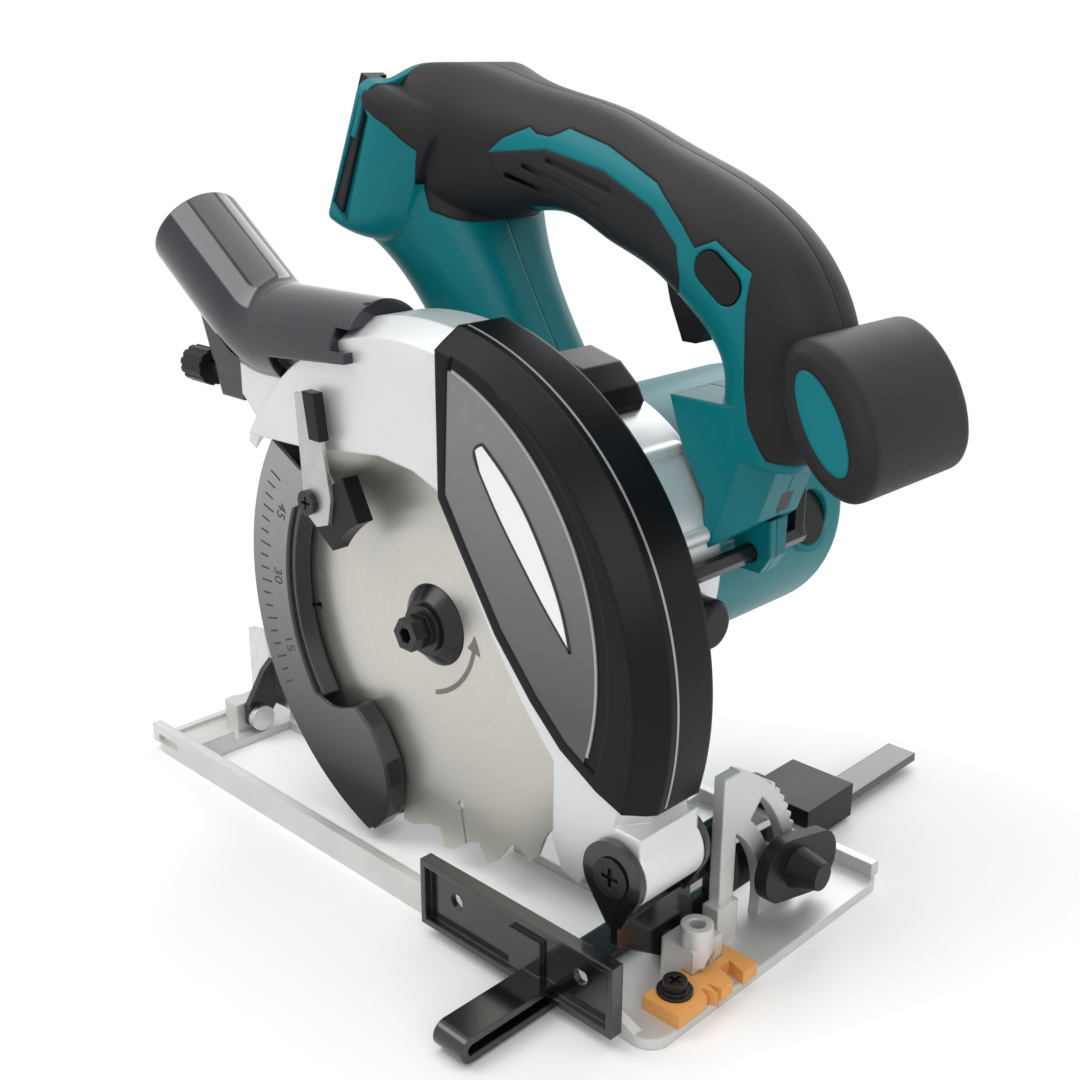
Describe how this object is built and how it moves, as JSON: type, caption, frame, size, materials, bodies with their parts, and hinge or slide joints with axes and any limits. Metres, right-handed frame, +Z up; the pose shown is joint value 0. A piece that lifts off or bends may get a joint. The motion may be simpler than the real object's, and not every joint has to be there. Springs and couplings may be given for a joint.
{
  "type": "circular saw",
  "caption": "Cordless circular saw with tilting, depth-set head on a cast base, sprung lower guard, geared blade, dust elbow, D-handle, front knob and sliding rip fence.",
  "frame": {"origin": "on the underside of the base, level with the blade axis and under the motor", "axes": "+X to the front of the saw, +Y to its left, +Z up"},
  "size_m": [0.2859, 0.24, 0.2617],
  "materials": {
    "alloy": "fine satin die casting",
    "case_alloy": "smooth satin die casting",
    "steel": "ground steel",
    "blade_steel": "finely ground steel",
    "dark_steel": "dark oxide steel",
    "guard_steel": "satin dark grey steel",
    "black_enamel": "gloss black enamel",
    "body_teal": "satin moulded plastic",
    "motor_teal": "satin moulded plastic",
    "soft_black": "soft moulded cover",
    "cover_black": "semi-gloss moulded plastic",
    "black_plastic": "moulded plastic",
    "nozzle_black": "glossy moulded plastic",
    "panel_grey": "satin grey plate",
    "white_inlay": "pale glossy inlay",
    "orange": "moulded plastic",
    "lens": "clear lens",
    "copper": "copper alloy contacts",
    "carbon": "carbon brush"
  },
  "bodies": {
    "base": {"base_plate": "alloy", "sight_guide": "orange", "sight_guide_screw": "dark_steel", "bar_clamp": "black_enamel"},
    "bevel_carriage": {"front_bracket": "black_enamel", "rear_bracket": "black_enamel", "depth_guide": "steel", "bevel_pins": "steel", "depth_pin": "dark_steel", "bevel_bolt": "steel"},
    "saw_head": {"blade_case": "case_alloy", "case_cover": "cover_black", "cover_inlay": "white_inlay", "cover_panel": "panel_grey", "housing_cap": "black_plastic", "holder_bands": "soft_black", "gear_housing": "case_alloy", "motor_housing": "motor_teal", "brush_caps": "black_plastic", "brushes": "carbon", "field_frame": "steel", "bearings": "steel", "guard_spring": "steel", "clamp_bolt": "steel", "dust_nozzle": "nozzle_black", "handle_right": "body_teal", "handle_left": "body_teal", "soft_right": "soft_black", "soft_left": "soft_black", "side_grips": "soft_black", "front_knob": "soft_black", "knob_inlays": "body_teal", "switch_body": "black_plastic", "led_lens": "lens", "handle_screws": "dark_steel", "battery_shoe": "black_plastic", "battery_contacts": "copper"},
    "guard": {"lower_guard": "guard_steel", "guard_lining": "black_enamel", "lever_holder": "dark_steel", "guard_lever": "dark_steel", "lever_sleeve": "black_plastic", "lever_screw": "dark_steel"},
    "blade_drive": {"spindle": "steel", "drive_gear": "steel", "inner_flange": "dark_steel", "blade": "blade_steel", "outer_flange": "dark_steel", "blade_bolt": "dark_steel"},
    "motor_rotor": {"armature": "steel", "motor_fan": "black_plastic"},
    "trigger_body": {"trigger": "black_plastic"},
    "lock_off": {"lock_off_button": "black_plastic"},
    "shaft_lock_body": {"shaft_lock": "black_plastic"},
    "bevel_knob_body": {"bevel_knob": "black_plastic"},
    "depth_lever_body": {"depth_lever": "black_plastic"},
    "fence": {"rip_fence": "black_enamel"},
    "fence_screw": {"fence_clamp_screw": "dark_steel"},
    "nozzle_screw_body": {"nozzle_screw": "black_plastic"},
    "key": {"hex_key": "dark_steel"}
  },
  "joints": [
    {"name": "bevel", "type": "hinge", "parent": "base", "child": "bevel_carriage", "pos_m": [0, -0.0575, 0.0095], "axis": [1, 0, 0], "range_deg": [0, 25]},
    {"name": "depth", "type": "hinge", "parent": "bevel_carriage", "child": "saw_head", "pos_m": [0.092, -0.066, 0.042], "axis": [0, -1, 0], "range_deg": [0, 34.5]},
    {"name": "guard_swing", "type": "hinge", "parent": "saw_head", "child": "guard", "pos_m": [0, -0.066, 0.0883], "axis": [0, 1, 0], "range_deg": [0, 44], "stiffness_Nm_per_rad": 0.25, "springref_deg": -34.38},
    {"name": "blade_spin", "type": "hinge", "parent": "saw_head", "child": "blade_drive", "pos_m": [0, -0.066, 0.0883], "axis": [0, 1, 0], "continuous": true},
    {"name": "rotor_spin", "type": "hinge", "parent": "saw_head", "child": "motor_rotor", "pos_m": [0.01803, -0.066, 0.10414], "axis": [0, 1, 0], "continuous": true},
    {"name": "trigger_pull", "type": "slide", "parent": "saw_head", "child": "trigger_body", "axis": [-0.25, 0, 0.9682], "range_m": [0, 0.005], "stiffness_N_per_m": 400, "springref_m": -0.002},
    {"name": "lock_off_push", "type": "slide", "parent": "saw_head", "child": "lock_off", "axis": [0, 1, 0], "range_m": [0, 0.004], "stiffness_N_per_m": 300, "springref_m": -0.001},
    {"name": "shaft_lock_push", "type": "slide", "parent": "saw_head", "child": "shaft_lock_body", "axis": [-1, 0, 0], "range_m": [0, 0.004], "stiffness_N_per_m": 300, "springref_m": -0.001},
    {"name": "bevel_knob_turn", "type": "hinge", "parent": "bevel_carriage", "child": "bevel_knob_body", "pos_m": [0, -0.01141, 0.02099], "axis": [1, 0, 0], "range_deg": [0, 36]},
    {"name": "depth_lever_turn", "type": "hinge", "parent": "saw_head", "child": "depth_lever_body", "pos_m": [-0.04065, -0.066, 0.13147], "axis": [0, 1, 0], "range_deg": [0, 40]},
    {"name": "fence_slide", "type": "slide", "parent": "base", "child": "fence", "axis": [0, -1, 0], "range_m": [0, 0.046]},
    {"name": "fence_screw_turn", "type": "hinge", "parent": "base", "child": "fence_screw", "pos_m": [0, 0.043, 0.0056], "axis": [1, 0, 0], "range_deg": [0, 180]},
    {"name": "nozzle_screw_turn", "type": "hinge", "parent": "saw_head", "child": "nozzle_screw_body", "pos_m": [0, -0.0735, 0.158], "axis": [1, 0, 0], "range_deg": [0, 180]},
    {"name": "key_pull", "type": "slide", "parent": "saw_head", "child": "key", "axis": [0, 1, 0], "range_m": [0, 0.03]}
  ],
  "couplings": [
    {"joint": "rotor_spin", "follows": "blade_spin", "ratio": -4.3333}
  ]
}
